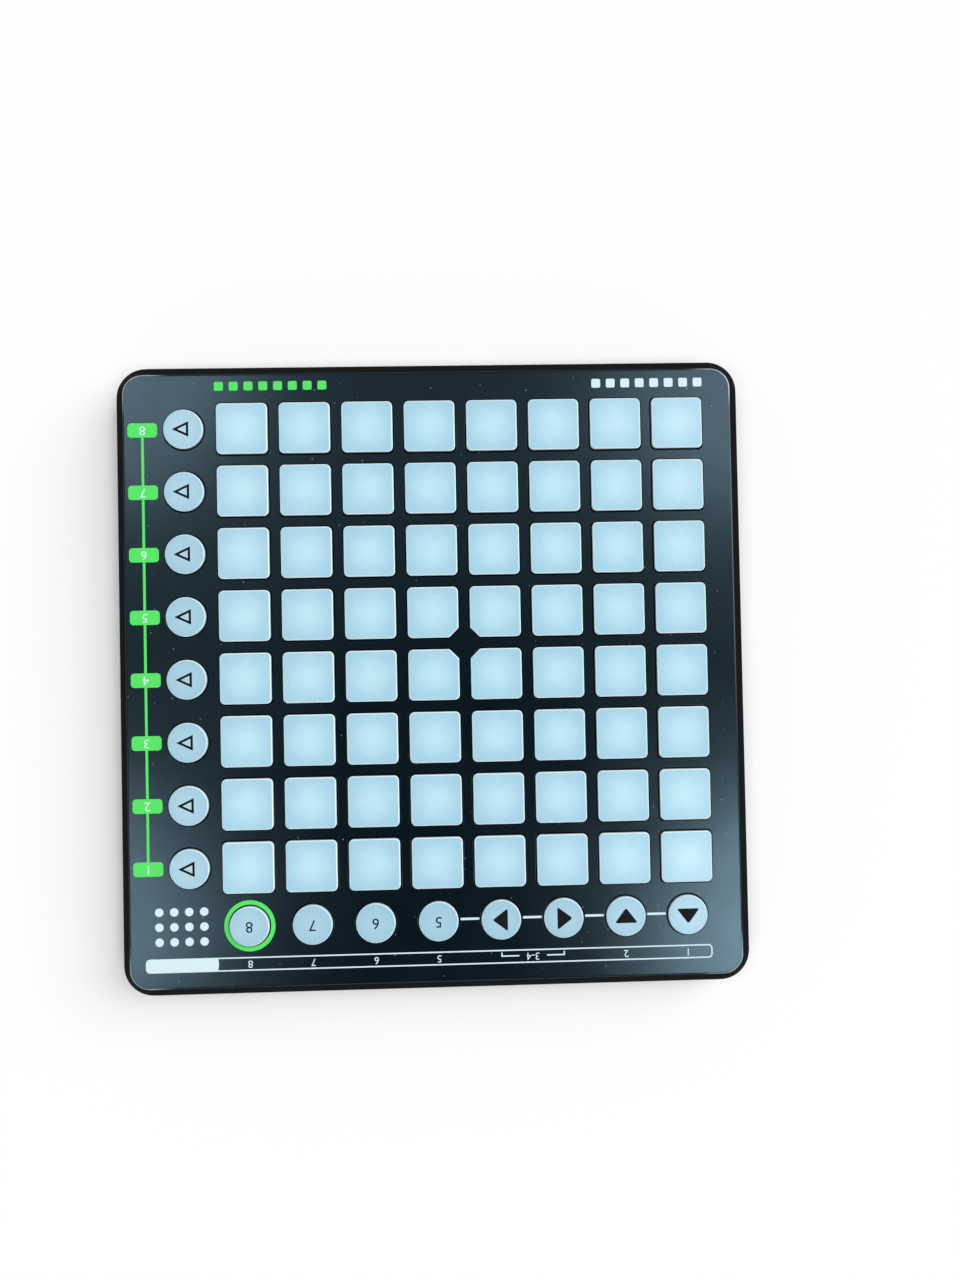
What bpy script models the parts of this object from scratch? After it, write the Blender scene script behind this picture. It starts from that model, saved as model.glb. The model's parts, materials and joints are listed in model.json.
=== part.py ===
"""Square MIDI pad controller: a flat case with an 8 by 8 grid of sprung pads and 16 round buttons.

Metres. +X is the user's right, +Y the rear edge with the socket, +Z up.
The origin is under the middle of the case, on the surface that its feet stand on.
"""

import bmesh
import bpy
from mathutils import Matrix

# Case
CASE_WIDTH = 0.240
CASE_DEPTH = 0.240
CASE_CORNER_RADIUS = 0.0115
CASE_CORNER_SEGMENTS = 4
WALL = 0.002
UNDERSIDE_HEIGHT = 0.0013
BASE_TAPER_RISE = 0.0037
BASE_TAPER_RUN = 0.005
SEAM_HEIGHT = 0.0105
SHOULDER_HEIGHT = 0.0136
FACE_HEIGHT = 0.0186
FACE_SLOPE_RUN = 0.0041
FIT_GAP = 0.0003

# Pads and round buttons
GRID_COUNT = 8
PADS_PER_STRIP = 2
PAD_PITCH = 0.0237
PAD_SPACING = 0.0042
PAD_CORNER = 0.0018
PAD_CORNER_SEGMENTS = 1
CENTRE_PAD_CUT = 0.0032
GRID_SHIFT = 0.012
BUTTON_DIAMETER = 0.015
BUTTON_OFFSET = 0.02205
BUTTON_STEPS = 12
KEY_PROUD = 0.0014
KEY_TRAVEL = 0.0012
KEY_SIDE_GAP = 0.0004
FLANGE_MARGIN = 0.0012
FLANGE_THICKNESS = 0.001
PLUNGER_WIDTH = 0.008

# Board, mat and what is soldered on the board
BOARD_EDGE_GAP = 0.002
BOARD_THICKNESS = 0.0016
STANDOFF_HEIGHT = 0.0058
STANDOFF_RADIUS = 0.003
STANDOFF_SPACING = 0.080
LIGHT_WIDTH = 0.003
LIGHT_HEIGHT = 0.0007
MAT_INSET = 0.010
MAT_THICKNESS = 0.001
MAT_WINDOW_GAP = 0.0015
CHIP_WIDTH = 0.012
CHIP_HEIGHT = 0.0016
CHIP_PLACE = (0.020, 0.040)

# Socket and lock slot in the rear wall
SOCKET_X = -0.030
SOCKET_WIDTH = 0.0077
SOCKET_HEIGHT = 0.0039
SOCKET_DEPTH = 0.009
SOCKET_SETBACK = 0.0006
SOCKET_SHELL = 0.0004
SOCKET_BACK = 0.0015
TONGUE_WIDTH = 0.0046
TONGUE_HEIGHT = 0.0009
TONGUE_SETBACK = 0.001
LOCK_SLOT_X = 0.060
LOCK_SLOT_WIDTH = 0.007
LOCK_SLOT_HEIGHT = 0.003

# Screws, their towers and posts
SCREW_INSET = 0.010
SCREW_SHANK_RADIUS = 0.0011
SCREW_HEAD_RADIUS = 0.0025
SCREW_HEAD_HEIGHT = 0.0016
SCREW_HEAD_RECESS = 0.0003
SCREW_REACH = 0.0038
TOWER_RADIUS = 0.0035
POST_RADIUS = 0.003
ROUND_STEPS = 12
NOTCH_GAP = 0.001

# Feet
FOOT_LENGTH = 0.180
FOOT_WIDTH = 0.009
FOOT_INSET = 0.020
FOOT_RECESS = 0.0006
FOOT_END_RADIUS = 0.004
FOOT_END_SEGMENTS = 3

# Heights that follow from the sizes above
FACE_UNDERSIDE = FACE_HEIGHT - WALL
KEY_TOP = FACE_HEIGHT + KEY_PROUD
FLANGE_TOP = FACE_UNDERSIDE - FIT_GAP
FLANGE_BOTTOM = FLANGE_TOP - FLANGE_THICKNESS
FLOOR_TOP = UNDERSIDE_HEIGHT + WALL
STANDOFF_TOP = FLOOR_TOP + STANDOFF_HEIGHT
BOARD_BOTTOM = STANDOFF_TOP + FIT_GAP
BOARD_TOP = BOARD_BOTTOM + BOARD_THICKNESS
LIGHT_TOP = BOARD_TOP + LIGHT_HEIGHT
MAT_BOTTOM = BOARD_TOP + FIT_GAP
MAT_TOP = MAT_BOTTOM + MAT_THICKNESS
PLUNGER_BOTTOM = LIGHT_TOP + FIT_GAP + KEY_TRAVEL
HALF_WIDTH = CASE_WIDTH / 2
HALF_DEPTH = CASE_DEPTH / 2
PAD_SIZE = PAD_PITCH - PAD_SPACING

# Middles of the pads along X and Y, and of the button column and row beside them
GRID_LINES = [(i - (GRID_COUNT - 1) / 2) * PAD_PITCH - GRID_SHIFT for i in range(GRID_COUNT)]
BUTTON_LINE = GRID_LINES[-1] + BUTTON_OFFSET
SCREW_PLACES = [
    (side * (HALF_WIDTH - SCREW_INSET), end * (HALF_DEPTH - SCREW_INSET))
    for end in (-1, 1)
    for side in (-1, 1)
]
SIDE_BUTTON_PLACES = [(BUTTON_LINE, y) for y in GRID_LINES]
TOP_BUTTON_PLACES = [(x, BUTTON_LINE) for x in GRID_LINES]
BUTTON_PLACES = SIDE_BUTTON_PLACES + TOP_BUTTON_PLACES
PAD_PLACES = [(x, y) for y in GRID_LINES for x in GRID_LINES]

for leftover in list(bpy.data.objects):
    bpy.data.objects.remove(leftover, do_unlink=True)

PARTS = bpy.data.collections.new("pad_controller")
CUTTERS = bpy.data.collections.new("cutters")
bpy.context.scene.collection.children.link(PARTS)
bpy.context.scene.collection.children.link(CUTTERS)


def make_material(name, colour, roughness, metallic=0.0):
    material = bpy.data.materials.new(name)
    material.use_nodes = True
    shader = material.node_tree.nodes["Principled BSDF"]
    shader.inputs["Base Color"].default_value = (*colour, 1.0)
    shader.inputs["Roughness"].default_value = roughness
    shader.inputs["Metallic"].default_value = metallic
    return material


MATERIALS = {
    "case": make_material("satin_black_plastic", (0.012, 0.013, 0.016), 0.45),
    "key": make_material("frosted_silicone", (0.50, 0.72, 0.82), 0.55),
    "mat": make_material("clear_silicone", (0.62, 0.70, 0.74), 0.6),
    "board": make_material("green_circuit_board", (0.02, 0.12, 0.06), 0.5),
    "chip": make_material("black_chip_package", (0.015, 0.015, 0.015), 0.6),
    "metal": make_material("plated_steel", (0.55, 0.55, 0.56), 0.35, 1.0),
    "foot": make_material("black_rubber", (0.018, 0.018, 0.018), 0.85),
}


def add_block(bm, low, high):
    """Adds a box between two corners and returns its vertices."""
    middle = [(a + b) / 2 for a, b in zip(low, high)]
    size = [b - a for a, b in zip(low, high)]
    matrix = Matrix.Translation(middle) @ Matrix.Diagonal((*size, 1.0))
    return bmesh.ops.create_cube(bm, size=1.0, matrix=matrix)["verts"]


def add_rounded_block(bm, low, high, radius, segments, cut_corner=None, cut=0.0):
    """Adds a box with rounded upright edges; cut_corner, as signs of X and Y, gets one flat cut."""
    verts = set(add_block(bm, low, high))
    middle_x = (low[0] + high[0]) / 2
    middle_y = (low[1] + high[1]) / 2
    rounded = []
    chamfered = []
    for edge in bm.edges:
        first, second = edge.verts
        if first not in verts or second not in verts:
            continue
        if abs(first.co.x - second.co.x) + abs(first.co.y - second.co.y) > radius / 2:
            continue
        signs = (1 if first.co.x > middle_x else -1, 1 if first.co.y > middle_y else -1)
        (chamfered if signs == cut_corner else rounded).append(edge)
    bevel = {"profile": 0.5, "offset_type": "OFFSET", "affect": "EDGES"}
    bmesh.ops.bevel(bm, geom=rounded, offset=radius, segments=segments, **bevel)
    if chamfered:
        bmesh.ops.bevel(bm, geom=chamfered, offset=cut, segments=1, **bevel)


def add_cylinder(bm, place, bottom, top, radius, steps=ROUND_STEPS):
    matrix = Matrix.Translation((place[0], place[1], (bottom + top) / 2))
    bmesh.ops.create_cone(
        bm,
        cap_ends=True,
        segments=steps,
        radius1=radius,
        radius2=radius,
        depth=top - bottom,
        matrix=matrix,
    )


def square_round(place, width, bottom, top):
    """Low and high corners of an upright square block around a place."""
    half = width / 2
    return (place[0] - half, place[1] - half, bottom), (place[0] + half, place[1] + half, top)


def mesh_of(bm, name):
    mesh = bpy.data.meshes.new(name)
    bm.to_mesh(mesh)
    bm.free()
    return mesh


def make_part(name, mesh, finish, place=(0.0, 0.0, 0.0)):
    if not mesh.materials:
        mesh.materials.append(MATERIALS[finish])
    part = bpy.data.objects.new(name, mesh)
    part.location = place
    PARTS.objects.link(part)
    return part


def make_helper(name, bm):
    helper = bpy.data.objects.new(name, mesh_of(bm, name))
    helper.hide_render = True
    helper.display_type = "WIRE"
    CUTTERS.objects.link(helper)
    return helper


def combine(target, helper, operation):
    modifier = target.modifiers.new(helper.name, "BOOLEAN")
    modifier.operation = operation
    modifier.solver = "EXACT"
    modifier.object = helper


def evaluated_mesh(source, name):
    """The mesh of an object with its modifiers applied; the object itself goes."""
    bpy.context.view_layer.update()
    graph = bpy.context.evaluated_depsgraph_get()
    mesh = bpy.data.meshes.new_from_object(source.evaluated_get(graph))
    mesh.name = name
    bpy.data.objects.remove(source, do_unlink=True)
    return mesh


def turned_mesh(name, profile, steps):
    """A solid turned about Z from (radius, height) points that run down its outer side."""
    bm = bmesh.new()
    verts = [bm.verts.new((radius, 0.0, height)) for radius, height in profile]
    for above, below in zip(verts, verts[1:]):
        bm.edges.new((above, below))
    source = make_helper(name + "_profile", bm)
    screw = source.modifiers.new("turn", "SCREW")
    screw.axis = "Z"
    screw.steps = steps
    screw.render_steps = steps
    screw.use_merge_vertices = True
    screw.merge_threshold = 0.00001
    return evaluated_mesh(source, name)


def add_tray_solid(bm, inset, rim, shoulder, end, run):
    """Adds a rounded slab with upright walls from rim to shoulder, then drawn in by run up to end."""
    half_x = HALF_WIDTH - inset
    half_y = HALF_DEPTH - inset
    low = (-half_x, -half_y, min(rim, shoulder))
    high = (half_x, half_y, max(rim, shoulder))
    add_rounded_block(bm, low, high, CASE_CORNER_RADIUS - inset, CASE_CORNER_SEGMENTS)
    bm.normal_update()
    way = 1 if end > shoulder else -1
    flat = max(bm.faces, key=lambda face: way * face.normal.z)
    bmesh.ops.inset_region(bm, faces=[flat], thickness=run, use_even_offset=True)
    for vert in flat.verts:
        vert.co.z = end


def case_shell(name, rim, shoulder, end, run):
    """A tray with walls and a floor of the wall thickness, open at its rim."""
    way = 1 if end > shoulder else -1
    outer = bmesh.new()
    add_tray_solid(outer, 0.0, rim, shoulder, end, run)
    shell = make_part(name, mesh_of(outer, name), "case")
    inner_end = end - way * WALL
    inner_run = run * (inner_end - shoulder) / (end - shoulder)
    inner = bmesh.new()
    add_tray_solid(inner, WALL, rim - way * WALL, shoulder, inner_end, inner_run)
    combine(shell, make_helper(name + "_cavity", inner), "DIFFERENCE")
    return shell


def make_top_cover():
    rim = SEAM_HEIGHT + FIT_GAP
    cover = case_shell("top_cover", rim, SHOULDER_HEIGHT, FACE_HEIGHT, FACE_SLOPE_RUN)
    posts = bmesh.new()
    pilots = bmesh.new()
    for place in SCREW_PLACES:
        add_cylinder(posts, place, rim, FACE_UNDERSIDE + WALL / 2, POST_RADIUS)
        pilot_top = rim + SCREW_REACH + FIT_GAP
        add_cylinder(pilots, place, rim - FIT_GAP, pilot_top, SCREW_SHANK_RADIUS + FIT_GAP)
    combine(cover, make_helper("screw_posts", posts), "UNION")
    combine(cover, make_helper("screw_pilots", pilots), "DIFFERENCE")
    openings = bmesh.new()
    low, high = FACE_UNDERSIDE - WALL, FACE_HEIGHT + WALL
    for column, row in [(c, r) for r in range(GRID_COUNT) for c in range(GRID_COUNT)]:
        place = (GRID_LINES[column], GRID_LINES[row])
        corners = square_round(place, PAD_SIZE + 2 * KEY_SIDE_GAP, low, high)
        add_rounded_block(
            openings,
            *corners,
            PAD_CORNER + KEY_SIDE_GAP / 2,
            PAD_CORNER_SEGMENTS,
            centre_corner(column, row),
            CENTRE_PAD_CUT + KEY_SIDE_GAP / 2,
        )
    for place in BUTTON_PLACES:
        add_cylinder(openings, place, low, high, BUTTON_DIAMETER / 2 + KEY_SIDE_GAP, BUTTON_STEPS)
    combine(cover, make_helper("key_openings", openings), "DIFFERENCE")


def make_bottom_cover():
    shoulder = UNDERSIDE_HEIGHT + BASE_TAPER_RISE
    cover = case_shell("bottom_cover", SEAM_HEIGHT, shoulder, UNDERSIDE_HEIGHT, BASE_TAPER_RUN)
    head_bottom = UNDERSIDE_HEIGHT + SCREW_HEAD_RECESS
    head_seat = head_bottom + SCREW_HEAD_HEIGHT + FIT_GAP
    towers = bmesh.new()
    holes = bmesh.new()
    for place in SCREW_PLACES:
        add_cylinder(towers, place, FLOOR_TOP - WALL / 2, SEAM_HEIGHT, TOWER_RADIUS)
        add_cylinder(holes, place, head_bottom, SEAM_HEIGHT + WALL, SCREW_SHANK_RADIUS + FIT_GAP)
    for x in (-STANDOFF_SPACING, 0.0, STANDOFF_SPACING):
        for y in (-STANDOFF_SPACING, 0.0, STANDOFF_SPACING):
            add_cylinder(towers, (x, y), FLOOR_TOP - WALL / 2, STANDOFF_TOP, STANDOFF_RADIUS)
    combine(cover, make_helper("towers_and_standoffs", towers), "UNION")
    combine(cover, make_helper("screw_holes", holes), "DIFFERENCE")
    cuts = bmesh.new()
    for place in SCREW_PLACES:
        add_cylinder(cuts, place, UNDERSIDE_HEIGHT - WALL, head_seat, SCREW_HEAD_RADIUS + FIT_GAP)
    for end in (-1, 1):
        low, high = foot_corners(end, FIT_GAP)
        recess_low = (low[0], low[1], UNDERSIDE_HEIGHT - WALL)
        recess_high = (high[0], high[1], UNDERSIDE_HEIGHT + FOOT_RECESS)
        radius = FOOT_END_RADIUS + FIT_GAP
        add_rounded_block(cuts, recess_low, recess_high, radius, FOOT_END_SEGMENTS)
    low, high = socket_corners(FIT_GAP)
    add_block(cuts, (low[0], HALF_DEPTH - 2 * WALL, low[2]), (high[0], HALF_DEPTH + WALL, high[2]))
    slot_middle = (shoulder + SEAM_HEIGHT) / 2
    slot_low = (LOCK_SLOT_X - LOCK_SLOT_WIDTH / 2, HALF_DEPTH - 2 * WALL, slot_middle - LOCK_SLOT_HEIGHT / 2)
    slot_high = (LOCK_SLOT_X + LOCK_SLOT_WIDTH / 2, HALF_DEPTH + WALL, slot_middle + LOCK_SLOT_HEIGHT / 2)
    add_block(cuts, slot_low, slot_high)
    combine(cover, make_helper("underside_and_rear_cuts", cuts), "DIFFERENCE")


def foot_corners(end, gap=0.0):
    """Corners of the foot strip at the front (-1) or the rear (1), grown sideways by gap."""
    middle = end * (HALF_DEPTH - FOOT_INSET)
    half_length = FOOT_LENGTH / 2 + gap
    half_width = FOOT_WIDTH / 2 + gap
    low = (-half_length, middle - half_width, 0.0)
    high = (half_length, middle + half_width, UNDERSIDE_HEIGHT + FOOT_RECESS - FIT_GAP)
    return low, high


def make_feet():
    for name, end in (("front_foot", -1), ("rear_foot", 1)):
        bm = bmesh.new()
        add_rounded_block(bm, *foot_corners(end), FOOT_END_RADIUS, FOOT_END_SEGMENTS)
        make_part(name, mesh_of(bm, name), "foot")


def make_screws():
    bottom = UNDERSIDE_HEIGHT + SCREW_HEAD_RECESS
    under_head = SCREW_HEAD_HEIGHT
    tip = SEAM_HEIGHT + FIT_GAP + SCREW_REACH - bottom
    profile = [
        (0.0, tip),
        (SCREW_SHANK_RADIUS, tip),
        (SCREW_SHANK_RADIUS, under_head),
        (SCREW_HEAD_RADIUS, under_head),
        (SCREW_HEAD_RADIUS, 0.0),
        (0.0, 0.0),
    ]
    mesh = turned_mesh("case_screw", profile, ROUND_STEPS)
    for number, place in enumerate(SCREW_PLACES, 1):
        make_part(f"case_screw_{number}", mesh, "metal", (*place, bottom))


def make_circuit_board():
    half_x = HALF_WIDTH - WALL - BOARD_EDGE_GAP
    half_y = HALF_DEPTH - WALL - BOARD_EDGE_GAP
    bm = bmesh.new()
    add_block(bm, (-half_x, -half_y, BOARD_BOTTOM), (half_x, half_y, BOARD_TOP))
    board = make_part("circuit_board", mesh_of(bm, "circuit_board"), "board")
    notches = bmesh.new()
    for place in SCREW_PLACES:
        width = 2 * (max(TOWER_RADIUS, POST_RADIUS) + NOTCH_GAP)
        reach = HALF_WIDTH + HALF_DEPTH
        side = 1 if place[0] > 0 else -1
        end = 1 if place[1] > 0 else -1
        near = (place[0] - side * width / 2, place[1] - end * width / 2)
        far = (side * reach, end * reach)
        low = (min(near[0], far[0]), min(near[1], far[1]), BOARD_BOTTOM - WALL)
        high = (max(near[0], far[0]), max(near[1], far[1]), BOARD_TOP + WALL)
        add_block(notches, low, high)
    combine(board, make_helper("board_notches", notches), "DIFFERENCE")
    lights = bmesh.new()
    for place in PAD_PLACES + BUTTON_PLACES:
        middle_of_board = (BOARD_BOTTOM + BOARD_TOP) / 2
        add_block(lights, *square_round(place, LIGHT_WIDTH, middle_of_board, LIGHT_TOP))
    combine(board, make_helper("board_lights", lights), "UNION")


def make_key_mat():
    half_x = HALF_WIDTH - WALL - BOARD_EDGE_GAP - MAT_INSET
    half_y = HALF_DEPTH - WALL - BOARD_EDGE_GAP - MAT_INSET
    bm = bmesh.new()
    add_block(bm, (-half_x, -half_y, MAT_BOTTOM), (half_x, half_y, MAT_TOP))
    mat = make_part("key_mat", mesh_of(bm, "key_mat"), "mat")
    windows = bmesh.new()
    for place in PAD_PLACES + BUTTON_PLACES:
        width = PLUNGER_WIDTH + 2 * MAT_WINDOW_GAP
        add_block(windows, *square_round(place, width, MAT_BOTTOM - WALL, MAT_TOP + WALL))
    combine(mat, make_helper("mat_windows", windows), "DIFFERENCE")


def make_chip():
    top = BOARD_BOTTOM - FIT_GAP
    bm = bmesh.new()
    add_block(bm, *square_round(CHIP_PLACE, CHIP_WIDTH, top - CHIP_HEIGHT, top))
    make_part("microcontroller", mesh_of(bm, "microcontroller"), "chip")


def socket_corners(gap=0.0):
    """Corners of the socket's shell, which hangs under the board, grown by gap on all sides."""
    top = BOARD_BOTTOM - FIT_GAP
    mouth = HALF_DEPTH - SOCKET_SETBACK
    low = (SOCKET_X - SOCKET_WIDTH / 2 - gap, mouth - SOCKET_DEPTH - gap, top - SOCKET_HEIGHT - gap)
    high = (SOCKET_X + SOCKET_WIDTH / 2 + gap, mouth + gap, top + gap)
    return low, high


def make_socket():
    low, high = socket_corners()
    bm = bmesh.new()
    add_block(bm, low, high)
    socket = make_part("usb_socket", mesh_of(bm, "usb_socket"), "metal")
    mouth = bmesh.new()
    back = low[1] + SOCKET_BACK
    mouth_low = (low[0] + SOCKET_SHELL, back, low[2] + SOCKET_SHELL)
    mouth_high = (high[0] - SOCKET_SHELL, high[1] + WALL, high[2] - SOCKET_SHELL)
    add_block(mouth, mouth_low, mouth_high)
    combine(socket, make_helper("socket_mouth", mouth), "DIFFERENCE")
    tongue = bmesh.new()
    middle = (low[2] + high[2]) / 2
    tongue_low = (SOCKET_X - TONGUE_WIDTH / 2, back - SOCKET_BACK / 2, middle - TONGUE_HEIGHT / 2)
    tongue_high = (SOCKET_X + TONGUE_WIDTH / 2, high[1] - TONGUE_SETBACK, middle + TONGUE_HEIGHT / 2)
    add_block(tongue, tongue_low, tongue_high)
    combine(socket, make_helper("socket_tongue", tongue), "UNION")


def centre_corner(column, row):
    """The corner, as signs of X and Y, that a pad turns to the middle of the grid, or None."""
    middle = GRID_COUNT // 2
    if column not in (middle - 1, middle) or row not in (middle - 1, middle):
        return None
    return (1 if column < middle else -1, 1 if row < middle else -1)


def pad_strip_mesh(corner_cuts):
    """Pads side by side on one silicone flange; heights count from the flange's top."""
    count = len(corner_cuts)
    half_x = (count - 1) * PAD_PITCH / 2 + PAD_SIZE / 2 + FLANGE_MARGIN
    half_y = PAD_SIZE / 2 + FLANGE_MARGIN
    bm = bmesh.new()
    add_block(bm, (-half_x, -half_y, -FLANGE_THICKNESS), (half_x, half_y, 0.0))
    strip = make_helper("pad_flange", bm)
    pads = bmesh.new()
    for index, cut_corner in enumerate(corner_cuts):
        place = ((index - (count - 1) / 2) * PAD_PITCH, 0.0)
        corners = square_round(place, PAD_SIZE, -FLANGE_THICKNESS / 3, KEY_TOP - FLANGE_TOP)
        add_rounded_block(
            pads, *corners, PAD_CORNER, PAD_CORNER_SEGMENTS, cut_corner, CENTRE_PAD_CUT
        )
        plunger_top = -2 * FLANGE_THICKNESS / 3
        add_block(pads, *square_round(place, PLUNGER_WIDTH, PLUNGER_BOTTOM - FLANGE_TOP, plunger_top))
    blocks = make_helper("pad_blocks", pads)
    combine(strip, blocks, "UNION")
    mesh = evaluated_mesh(strip, "pad_strip")
    bpy.data.objects.remove(blocks, do_unlink=True)
    return mesh


def make_pads():
    meshes = {}
    for row, y in enumerate(GRID_LINES):
        for first in range(0, GRID_COUNT, PADS_PER_STRIP):
            columns = range(first, first + PADS_PER_STRIP)
            cuts = tuple(centre_corner(column, row) for column in columns)
            if cuts not in meshes:
                meshes[cuts] = pad_strip_mesh(cuts)
            x = sum(GRID_LINES[column] for column in columns) / PADS_PER_STRIP
            name = f"pads_r{row + 1}_c{columns[0] + 1}_{columns[-1] + 1}"
            make_part(name, meshes[cuts], "key", (x, y, FLANGE_TOP))


def make_buttons():
    radius = BUTTON_DIAMETER / 2
    flange_radius = radius + FLANGE_MARGIN
    plunger_radius = PLUNGER_WIDTH / 2
    top = KEY_TOP - FLANGE_TOP
    bottom = PLUNGER_BOTTOM - FLANGE_TOP
    profile = [
        (0.0, top),
        (radius, top),
        (radius, 0.0),
        (flange_radius, 0.0),
        (flange_radius, -FLANGE_THICKNESS),
        (plunger_radius, -FLANGE_THICKNESS),
        (plunger_radius, bottom),
        (0.0, bottom),
    ]
    mesh = turned_mesh("round_button", profile, BUTTON_STEPS)
    for kind, places in (("side", SIDE_BUTTON_PLACES), ("top", TOP_BUTTON_PLACES)):
        for number, place in enumerate(places, 1):
            make_part(f"{kind}_button_{number}", mesh, "key", (*place, FLANGE_TOP))


make_top_cover()
make_bottom_cover()
make_circuit_board()
make_key_mat()
make_chip()
make_socket()
make_screws()
make_feet()
make_pads()
make_buttons()
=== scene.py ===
import json
import math
import bmesh
import bpy
from mathutils import Matrix, Vector


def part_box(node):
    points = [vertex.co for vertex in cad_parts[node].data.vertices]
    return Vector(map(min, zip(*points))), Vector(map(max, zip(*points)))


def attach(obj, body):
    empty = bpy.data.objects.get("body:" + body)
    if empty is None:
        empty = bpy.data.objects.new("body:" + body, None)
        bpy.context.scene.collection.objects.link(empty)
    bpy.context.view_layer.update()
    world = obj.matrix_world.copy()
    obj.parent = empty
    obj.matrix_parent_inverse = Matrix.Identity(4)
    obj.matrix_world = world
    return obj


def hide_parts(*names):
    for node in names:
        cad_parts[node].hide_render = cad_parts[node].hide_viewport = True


# Square pad controller, user's side at -Y, socket edge at +Y, everything in metres.
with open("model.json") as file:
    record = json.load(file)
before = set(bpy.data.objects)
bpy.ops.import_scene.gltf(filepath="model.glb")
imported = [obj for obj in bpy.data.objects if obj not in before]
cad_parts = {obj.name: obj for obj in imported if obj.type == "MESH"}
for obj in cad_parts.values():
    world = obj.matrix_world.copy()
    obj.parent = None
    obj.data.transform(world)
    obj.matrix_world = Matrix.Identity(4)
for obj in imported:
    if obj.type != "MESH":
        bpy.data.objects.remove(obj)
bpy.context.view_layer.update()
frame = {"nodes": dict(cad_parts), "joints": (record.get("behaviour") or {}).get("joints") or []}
bpy.ops.object.select_all(action="DESELECT")
mm = 0.001
print("frame loaded:", len(frame["nodes"]), "nodes")


# Small tools

def hexColour(code):
    # sRGB hex as seen on a screen, turned to linear
    channels = [int(code[i:i + 2], 16) / 255 for i in (1, 3, 5)]
    linear = [c / 12.92 if c <= 0.04045 else ((c + 0.055) / 1.055) ** 2.4 for c in channels]
    return (*linear, 1.0)


def addNode(tree, kind, inputs=None, **settings):
    node = tree.nodes.new(kind)
    for name, value in settings.items():
        setattr(node, name, value)
    for name, value in (inputs or {}).items():
        if isinstance(value, bpy.types.NodeSocket):
            tree.links.new(value, node.inputs[name])
        else:
            node.inputs[name].default_value = value
    return node


def startMaterial(name, **values):
    material = bpy.data.materials.new(name)
    material.use_nodes = True
    shader = material.node_tree.nodes["Principled BSDF"]
    for socket, value in values.items():
        shader.inputs[socket.replace("_", " ")].default_value = value
    return material, material.node_tree, shader


def makeActive(piece):
    bpy.ops.object.select_all(action="DESELECT")
    piece.select_set(True)
    bpy.context.view_layer.objects.active = piece


def openEdit(piece):
    makeActive(piece)
    bpy.ops.object.mode_set(mode="EDIT")


def closeEdit():
    bpy.ops.object.mode_set(mode="OBJECT")


def choose(kind, test):
    # selects the verts, edges or faces that pass a test, in edit mode
    bpy.ops.mesh.select_mode(type=kind)
    bpy.ops.mesh.select_all(action="DESELECT")
    shape = bmesh.from_edit_mesh(bpy.context.edit_object.data)
    for part in {"VERT": shape.verts, "EDGE": shape.edges, "FACE": shape.faces}[kind]:
        if test(part):
            part.select_set(True)
    shape.select_flush_mode()
    bmesh.update_edit_mesh(bpy.context.edit_object.data)


def near(a, b, slack=1e-5):
    return abs(a - b) < slack


def isUpright(edge):
    a, b = (v.co for v in edge.verts)
    return near(a.x, b.x) and near(a.y, b.y) and not near(a.z, b.z)


def runsAlongY(edge):
    a, b = (v.co for v in edge.verts)
    return near(a.x, b.x) and near(a.z, b.z) and not near(a.y, b.y)


def levelAt(height):
    return lambda part: all(near(v.co.z, height) for v in part.verts)


def addBlock(name, low, high):
    low, high = Vector(low), Vector(high)
    bpy.ops.object.select_all(action="DESELECT")
    bpy.ops.mesh.primitive_cube_add(size=1, location=(low + high) / 2, scale=high - low)
    piece = bpy.context.object
    piece.name = piece.data.name = name
    bpy.ops.object.transform_apply(location=True, rotation=True, scale=True)
    return piece


def addDisc(name, place, bottom, top, radius, steps=48):
    bpy.ops.object.select_all(action="DESELECT")
    middle = (place[0], place[1], (bottom + top) / 2)
    bpy.ops.mesh.primitive_cylinder_add(vertices=steps, radius=radius, depth=top - bottom, location=middle)
    piece = bpy.context.object
    piece.name = piece.data.name = name
    bpy.ops.object.transform_apply(location=True, rotation=True, scale=True)
    return piece


def roundCorners(piece, radius, steps, test=isUpright):
    openEdit(piece)
    choose("EDGE", test)
    bpy.ops.mesh.bevel(offset=radius, segments=steps, profile=0.5, affect="EDGES", clamp_overlap=False)
    closeEdit()


def applyModifier(piece, kind, **settings):
    makeActive(piece)
    modifier = piece.modifiers.new(kind.lower(), kind)
    for name, value in settings.items():
        setattr(modifier, name, value)
    bpy.ops.object.modifier_apply(modifier=modifier.name)


def cutAway(piece, cutter):
    applyModifier(piece, "BOOLEAN", operation="DIFFERENCE", solver="EXACT", object=cutter)
    bpy.data.objects.remove(cutter, do_unlink=True)


def unite(piece, other):
    applyModifier(piece, "BOOLEAN", operation="UNION", solver="EXACT", object=other)
    bpy.data.objects.remove(other, do_unlink=True)


def joinPieces(name, pieces):
    bpy.ops.object.select_all(action="DESELECT")
    for piece in pieces:
        piece.select_set(True)
    bpy.context.view_layer.objects.active = pieces[0]
    if len(pieces) > 1:
        bpy.ops.object.join()
    pieces[0].name = pieces[0].data.name = name
    return pieces[0]


def copyPiece(source, name, offset, turn=0.0):
    piece = source.copy()
    piece.data = source.data.copy()
    piece.name = piece.data.name = name
    piece.data.transform(Matrix.Translation(offset) @ Matrix.Rotation(turn, 4, "Z"))
    bpy.context.collection.objects.link(piece)
    return piece


def smoothShade(piece, angle=35):
    makeActive(piece)
    bpy.ops.object.shade_smooth_by_angle(angle=math.radians(angle))
    applyModifier(piece, "WEIGHTED_NORMAL", keep_sharp=True, weight=80)


def setFinish(piece, *materials):
    piece.data.materials.clear()
    for material in materials:
        piece.data.materials.append(material)


def place(piece, body, slotName, *nodes):
    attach(piece, body)
    if nodes:
        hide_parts(*nodes)


# Materials

def feed(shader, socket, value):
    shader.id_data.links.new(value, shader.inputs[socket])


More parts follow.
